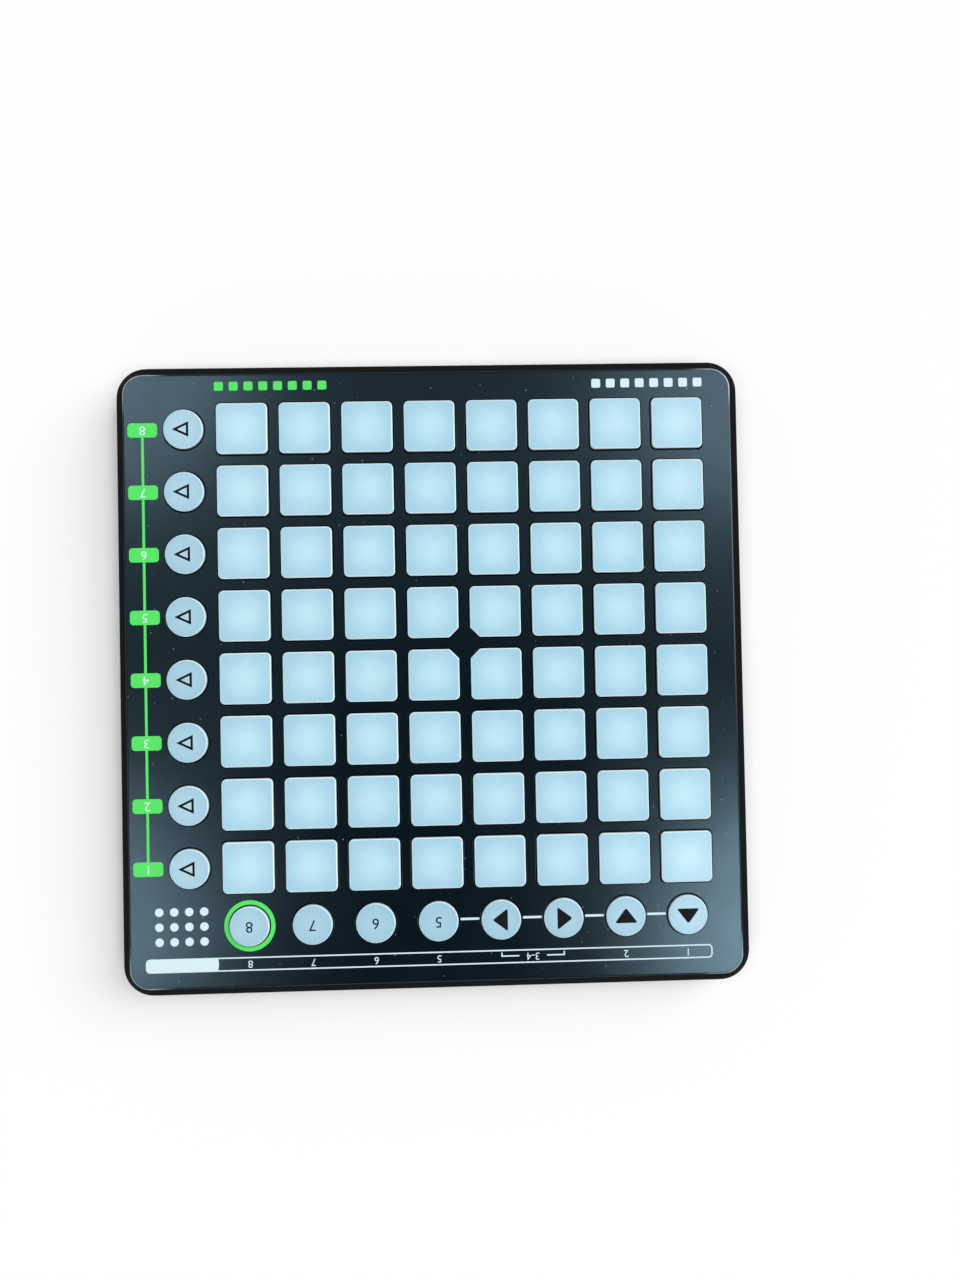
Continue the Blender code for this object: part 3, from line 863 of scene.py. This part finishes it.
def makeSocket():
    low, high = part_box("usb_socket")
    shell = addBlock("usb_socket_shell", low, high)
    roundCorners(shell, socketShape["corner"], socketShape["cornerSteps"], runsAlongY)
    openEdit(shell)
    choose("FACE", lambda face: all(near(v.co.y, high.y) for v in face.verts))
    bpy.ops.mesh.inset(thickness=socketShape["shell"], depth=0, use_even_offset=True)
    bpy.ops.mesh.extrude_region_move(
        TRANSFORM_OT_translate={"value": (0, low.y + socketShape["back"] - high.y, 0)})
    closeEdit()
    softenEdges(shell, socketShape["shellRound"])
    smoothShade(shell, angle=40)
    setFinish(shell, socketSteel)
    place(shell, "case", "metal", "usb_socket")

    middle = (low + high) / 2
    half, thick = socketShape["tongueWide"] / 2, socketShape["tongueHigh"] / 2
    tongueLow = Vector((middle.x - half, low.y + socketShape["back"] / 2, middle.z - thick))
    tongueHigh = Vector((middle.x + half, high.y - socketShape["tongueBack"], middle.z + thick))
    tongue = addBlock("usb_socket_tongue", tongueLow, tongueHigh)
    softenEdges(tongue, socketShape["tongueRound"])
    smoothShade(tongue, angle=40)
    setFinish(tongue, tonguePlastic)
    place(tongue, "case", "chip")

    root, tip = socketShape["contactEnds"]
    wide = socketShape["contactWide"] / 2
    bottom = tongueHigh.z - socketShape["contactSunk"]
    top = tongueHigh.z + socketShape["contactProud"]
    contacts = []
    for i in range(socketShape["contacts"]):
        x = middle.x + (i - (socketShape["contacts"] - 1) / 2) * socketShape["contactPitch"]
        start = (x - wide, tongueLow.y + root, bottom)
        contact = addBlock("contact", start, (x + wide, tongueHigh.y - tip, top))
        softenEdges(contact, socketShape["contactRound"], steps=1)
        contacts.append(contact)
    contacts = joinPieces("usb_socket_contacts", contacts)
    setFinish(contacts, contactGold)
    place(contacts, "case", "metal")


makeBottomCover()
for name in footNames:
    makeFoot(name)
makeScrews()
makeSocket()
print("bottom cover, feet, screws and socket made")


# Printed marks on the face and on the round buttons

inkShape = {
    "sunk": 0.01 * mm,
    "proud": 0.03 * mm,
    "over": 0.02 * mm,         # ink laid over ink lies this much higher
    "tag": (11.2 * mm, 5.45 * mm),
    "tagCorner": 1.35 * mm,
    "tagX": 108.6 * mm,
    "tagLine": 1.0 * mm,
    "ringRadius": 9.6 * mm,
    "ringLine": 1.6 * mm,
    "ringSteps": 96,
    "strip": ((-104.3 * mm, 104.65 * mm), (110.0 * mm, 109.85 * mm)),
    "stripLine": 0.5 * mm,
    "stripCorner": 1.6 * mm,
    "stripSteps": 8,
    "stripTagX": 82.8 * mm,
    "link": 0.88 * mm,
    "linkGap": 0.8 * mm,
    "linkDrop": 0.4 * mm,      # towards the pads, from the buttons' middles
    "links": 4,
    "bracketed": (3, 4),       # rear buttons that share a label
    "bracketLine": 0.5 * mm,
    "bracketReach": 6.6 * mm,
    "bracketRise": 0.2 * mm,   # its line's distance from the strip's middle
    "tickGap": 1.05 * mm,      # from the strip's edge
    "letterSteps": 6,
    "weld": 0.001 * mm,
    "digit": 4.9 * mm,
    "stripDigit": 3.9 * mm,
    "buttonDigit": 5.8 * mm,
    "arrow": (8.65 * mm, 5.75 * mm),
    "arrowRound": 0.8 * mm,
    "arrowSteps": 4,
    "arrowShift": 0.45 * mm,   # towards its tip
    "play": (5.9 * mm, 6.2 * mm),
    "playLine": 0.86 * mm,
    "playRound": 0.2 * mm,
    "playSteps": 3,
    "mark": 3.4 * mm,
    "markRound": 0.6 * mm,
    "markSteps": 4,
    "markPitch": 5.6 * mm,
    "marks": 8,
    "whiteMarks": (-103.5 * mm, -110.8 * mm),   # middle of each row's first mark
    "greenMarks": (40.5 * mm, -111.4 * mm),
    "dots": (4, 3),
    "dotStart": (88.0 * mm, 87.2 * mm),
    "dotPitch": 5.6 * mm,
    "dotRadius": 1.6 * mm,
}


def inkPlate(name, low, high, surface, corner=0.0, steps=6):
    plate = addBlock(name, (*low, surface - inkShape["sunk"]), (*high, surface + inkShape["proud"]))
    if corner:
        roundCorners(plate, corner, steps)
    return plate


def inkDisc(name, middle, radius, surface, steps=32):
    return addDisc(name, middle, surface - inkShape["sunk"], surface + inkShape["proud"], radius, steps)


def openPlate(plate, line):
    # opens a flat plate into a frame whose line is that wide
    heights = [v.co.z for v in plate.data.vertices]
    low, high = min(heights), max(heights)
    openEdit(plate)
    choose("FACE", lambda face: levelAt(low)(face) or levelAt(high)(face))
    bpy.ops.mesh.inset(thickness=line, depth=0, use_even_offset=True)
    bpy.ops.mesh.bridge_edge_loops()
    closeEdit()


def inkText(name, text, size, middle, surface):
    bpy.ops.object.select_all(action="DESELECT")
    bpy.ops.object.text_add(location=(0, 0, 0))
    letters = bpy.context.object
    letters.data.body = text
    letters.data.size = size
    letters.data.align_x, letters.data.align_y = "CENTER", "CENTER"
    letters.data.resolution_u = inkShape["letterSteps"]
    letters.data.extrude = (inkShape["sunk"] + inkShape["proud"]) / 2
    bpy.ops.object.convert(target="MESH")
    letters = bpy.context.object
    letters.name = letters.data.name = name
    openEdit(letters)
    bpy.ops.mesh.select_all(action="SELECT")
    bpy.ops.mesh.remove_doubles(threshold=inkShape["weld"])
    bpy.ops.mesh.beautify_fill()          # no flat slivers
    closeEdit()
    lift = surface + (inkShape["proud"] - inkShape["sunk"]) / 2
    letters.data.transform(Matrix.Translation((*middle, lift)))
    return letters


def inkTriangle(name, base, length, middle, turn, surface):
    # points to +Y before its turn; its box is centred on the middle
    plate = inkDisc(name, (0, 0), 1.0, surface, 3)
    widths = [v.co.x for v in plate.data.vertices]
    lengths = [v.co.y for v in plate.data.vertices]
    scaleX = base / (max(widths) - min(widths))
    scaleY = length / (max(lengths) - min(lengths))
    centre = (max(lengths) + min(lengths)) / 2
    fit = Matrix.Diagonal((scaleX, scaleY, 1, 1)) @ Matrix.Translation((0, -centre, 0))
    plate.data.transform(Matrix.Translation((*middle, 0)) @ Matrix.Rotation(turn, 4, "Z") @ fit)
    return plate


def printTags(green, white):
    # a tag beside each side button, a line between each two, and the ring round the last rear button
    wide, high = (size / 2 for size in inkShape["tag"])
    x, half = inkShape["tagX"], inkShape["tagLine"] / 2
    rows = [keyPlaces[name].y for name in sideNames]
    for i, y in enumerate(rows):
        tag = inkPlate("tag", (x - wide, y - high), (x + wide, y + high), faceTop, inkShape["tagCorner"])
        number = str(len(rows) - i)
        green.append(tag)
        white.append(inkText("tagDigit", number, inkShape["digit"], (x, y), faceTop + inkShape["proud"]))
    for below, above in zip(rows, rows[1:]):
        green.append(inkPlate("tagLine", (x - half, below + high), (x + half, above - high), faceTop))
    last = keyPlaces[topNames[-1]]
    ring = inkDisc("ring", last[:2], inkShape["ringRadius"], faceTop, inkShape["ringSteps"])
    openPlate(ring, inkShape["ringLine"])
    green.append(ring)


def printStrip(white):
    # outlined strip behind the rear buttons, one end filled, with its numbers, a bracket, and the links
    low, high = inkShape["strip"]
    over = inkShape["over"]
    corner, steps = inkShape["stripCorner"], inkShape["stripSteps"]
    strip = inkPlate("strip", low, high, faceTop, corner, steps)
    openPlate(strip, inkShape["stripLine"])
    fillLow = (inkShape["stripTagX"], low[1] - over)
    fillHigh = (high[0] + over, high[1] + over)
    fill = inkPlate("stripTag", fillLow, fillHigh, faceTop + over, corner, steps)
    white.extend((strip, fill))

    columns = [keyPlaces[name].x for name in topNames]
    reach = buttonShape["radius"] + inkShape["linkGap"]
    linkY = keyPlaces[topNames[-1]].y - inkShape["linkDrop"]
    half = inkShape["link"] / 2
    for left, right in list(zip(columns, columns[1:]))[:inkShape["links"]]:
        white.append(inkPlate("link", (left + reach, linkY - half), (right - reach, linkY + half), faceTop))

    labelY = (low[1] + high[1]) / 2
    pair = inkShape["bracketed"]
    first, second = (columns[n - 1] for n in pair)
    labels = {str(n): x for n, x in enumerate(columns, 1) if n not in pair}
    labels["-".join(str(n) for n in pair)] = (first + second) / 2
    for label, x in labels.items():
        white.append(inkText("stripDigit", label, inkShape["stripDigit"], (x, labelY), faceTop))
    line = inkShape["bracketLine"] / 2
    bracketY = labelY - inkShape["bracketRise"]
    tickLow = low[1] + inkShape["tickGap"]
    for x, way in ((first, 1), (second, -1)):
        start, end = sorted((x - way * line, x + way * inkShape["bracketReach"]))
        white.append(inkPlate("bracket", (start, bracketY - line), (end, bracketY + line), faceTop))
        tickHigh = (x + line, bracketY + line)
        white.append(inkPlate("bracketTick", (x - line, tickLow), tickHigh, faceTop + over))


def printMarks(green, white):
    # two rows of square marks along the front edge, and a block of dots in the rear corner
    side = inkShape["mark"] / 2
    for inks, (startX, y) in ((white, inkShape["whiteMarks"]), (green, inkShape["greenMarks"])):
        for i in range(inkShape["marks"]):
            x = startX + i * inkShape["markPitch"]
            low, high = (x - side, y - side), (x + side, y + side)
            mark = inkPlate("mark", low, high, faceTop, inkShape["markRound"], inkShape["markSteps"])
            inks.append(mark)
    (across, along), (startX, startY) = inkShape["dots"], inkShape["dotStart"]
    for i in range(across):
        for j in range(along):
            middle = (startX + i * inkShape["dotPitch"], startY + j * inkShape["dotPitch"])
            white.append(inkDisc("dot", middle, inkShape["dotRadius"], faceTop))


def printFace():
    green, white = [], []
    printTags(green, white)
    printStrip(white)
    printMarks(green, white)
    for name, inks, ink in (("face_print_green", green, greenInk), ("face_print_white", white, whiteInk)):
        printed = joinPieces(name, inks)
        setFinish(printed, ink)
        place(printed, "case", "case")


def printPlay(name):
    # outlined triangle that points to the tags, set forward by a sixth to bring its weight to the middle
    base, long = inkShape["play"]
    spot = keyPlaces[name]
    middle = (spot.x + long / 6, spot.y)
    mark = inkTriangle(f"{name}_symbol", base, long, middle, -math.pi / 2, keyTop)
    openPlate(mark, inkShape["playLine"])
    roundCorners(mark, inkShape["playRound"], inkShape["playSteps"])
    return mark


def printArrow(name, turn):
    spot, shift = keyPlaces[name], inkShape["arrowShift"]
    middle = (spot.x - math.sin(turn) * shift, spot.y + math.cos(turn) * shift)
    mark = inkTriangle(f"{name}_symbol", *inkShape["arrow"], middle, turn, keyTop)
    roundCorners(mark, inkShape["arrowRound"], inkShape["arrowSteps"])
    return mark


def printButtons():
    turns = (0, math.pi, math.pi / 2, -math.pi / 2)   # up, down, left, right
    for name in buttonNames:
        n = int(name.split("_")[-1])
        if name.startswith("side"):
            mark = printPlay(name)
        elif n <= len(turns):
            mark = printArrow(name, turns[n - 1])
        else:
            mark = inkText(f"{name}_symbol", str(n), inkShape["buttonDigit"], keyPlaces[name][:2], keyTop)
        setFinish(mark, blackInk)
        place(mark, name, "key")


printFace()
printButtons()
print("marks printed")


# Inner pieces keep their shape from the frame and take their own finish

for name, finish in (("key_mat", matSilicone), ("circuit_board", boardMask), ("microcontroller", chipResin)):
    setFinish(frame["nodes"][name], finish)


# Camera, floor and light

stageLook = {
    "cameraPlace": (-7.959 * mm, -6.874 * mm, 384.805 * mm),
    "cameraTurn": (0.993, -1.533, 178.862),    # degrees
    "lens": 27.03,
    "sensor": 36,
    "clipStart": 10 * mm,
    "floor": "#e7e7e7",
    "floorSize": 40,
    "floorGlow": 0.185,        # brings the lit floor up to white for the eye, the shadow stays
    "walls": 1.0,
    "wallsEnd": (0.2, 0.45),    # heights on the sky's ball over which the walls fade out
    "room": 0.14,               # between the walls and the ceiling
    "ceiling": 0.7,
    "ceilingStart": (0.85, 0.95),
    "dark": (0, 0.19, 0.98),    # way to the dim patch above, where the camera stands
    "darkEdge": (0.93, 0.985),  # its soft edge, as cosines
    "darkShare": 0.1,
    # softboxes: x, y, z, side in metres, watts
    "boxes": ((-0.86, 0.715, 2.1, 0.56, 10.8), (0.86, -0.76, 2.1, 0.54, 4.95), (0.97, 0.65, 2.1, 0.56, 6.4),
              (-0.75, -0.67, 2.1, 0.5, 3.7)),
    "keyFrom": (-1.12, -0.6, 1.0),
    "keyStrength": 2.0,
    "keySpread": 50,            # degrees
}


def makeCamera():
    camera = bpy.data.objects.new("photoCamera", bpy.data.cameras.new("photoCamera"))
    camera.data.lens = stageLook["lens"]
    camera.data.sensor_width = stageLook["sensor"]
    camera.location = stageLook["cameraPlace"]
    camera.rotation_euler = [math.radians(a) for a in stageLook["cameraTurn"]]
    camera.data.clip_start = stageLook["clipStart"]
    bpy.context.collection.objects.link(camera)
    bpy.context.scene.camera = camera


def makeFloor():
    # matte white table: takes the shadow, and shows as white to the eye and in reflections
    bpy.ops.object.select_all(action="DESELECT")
    bpy.ops.mesh.primitive_plane_add(size=stageLook["floorSize"])
    floor = bpy.context.object
    floor.name = "floor"
    material = bpy.data.materials.new("matteWhitePaper")
    material.use_nodes = True
    tree = material.node_tree
    tree.nodes.clear()
    ray = addNode(tree, "ShaderNodeLightPath").outputs
    seen = calculate(tree, "MAXIMUM", ray["Is Camera Ray"], ray["Is Glossy Ray"])
    seen = calculate(tree, "MAXIMUM", seen, ray["Is Transmission Ray"])
    strength = calculate(tree, "MULTIPLY", seen, stageLook["floorGlow"])
    glow = addNode(tree, "ShaderNodeEmission", {"Strength": strength})
    paper = addNode(tree, "ShaderNodeBsdfDiffuse", {"Color": hexColour(stageLook["floor"])})
    both = addNode(tree, "ShaderNodeAddShader", {0: paper.outputs[0], 1: glow.outputs[0]})
    addNode(tree, "ShaderNodeOutputMaterial", {"Surface": both.outputs[0]})
    floor.data.materials.append(material)


def makeLight():
    for i, (x, y, z, side, watts) in enumerate(stageLook["boxes"]):
        lamp = bpy.data.lights.new(f"softbox{i + 1}", "AREA")
        lamp.shape = "SQUARE"
        lamp.size = side
        lamp.energy = watts
        box = bpy.data.objects.new(lamp.name, lamp)
        box.location = (x, y, z)
        box.rotation_euler = (-box.location).to_track_quat("-Z", "Y").to_euler()
        bpy.context.collection.objects.link(box)
    key = bpy.data.objects.new("keyLight", bpy.data.lights.new("keyLight", "SUN"))
    key.data.energy = stageLook["keyStrength"]
    key.data.angle = math.radians(stageLook["keySpread"])
    key.rotation_euler = (-Vector(stageLook["keyFrom"])).to_track_quat("-Z", "Y").to_euler()
    bpy.context.collection.objects.link(key)

    world = bpy.data.worlds.new("studio")
    bpy.context.scene.world = world
    world.use_nodes = True
    tree = world.node_tree
    tree.nodes.clear()
    # pale walls at eye height, dim room above them, pale ceiling with a dark patch over the camera
    way = addNode(tree, "ShaderNodeTexCoord").outputs["Generated"]
    rise = addNode(tree, "ShaderNodeSeparateXYZ", {0: way}).outputs["Z"]
    walls = remap(tree, rise, *stageLook["wallsEnd"], stageLook["walls"], stageLook["room"])
    lift = stageLook["ceiling"] - stageLook["room"]
    ceiling = remap(tree, rise, *stageLook["ceilingStart"], 0.0, lift, blend="SMOOTHSTEP")
    both = calculate(tree, "ADD", walls, ceiling)
    patch = {0: way, 1: stageLook["dark"]}
    facing = addNode(tree, "ShaderNodeVectorMath", patch, operation="DOT_PRODUCT").outputs["Value"]
    dark = remap(tree, facing, *stageLook["darkEdge"], 1.0, stageLook["darkShare"], blend="SMOOTHSTEP")
    sky = addNode(tree, "ShaderNodeBackground", {"Strength": calculate(tree, "MULTIPLY", both, dark)})
    addNode(tree, "ShaderNodeOutputWorld", {"Surface": sky.outputs[0]})


makeCamera()
makeFloor()
makeLight()
bpy.context.scene.view_settings.view_transform = "Standard"
print("stage set")
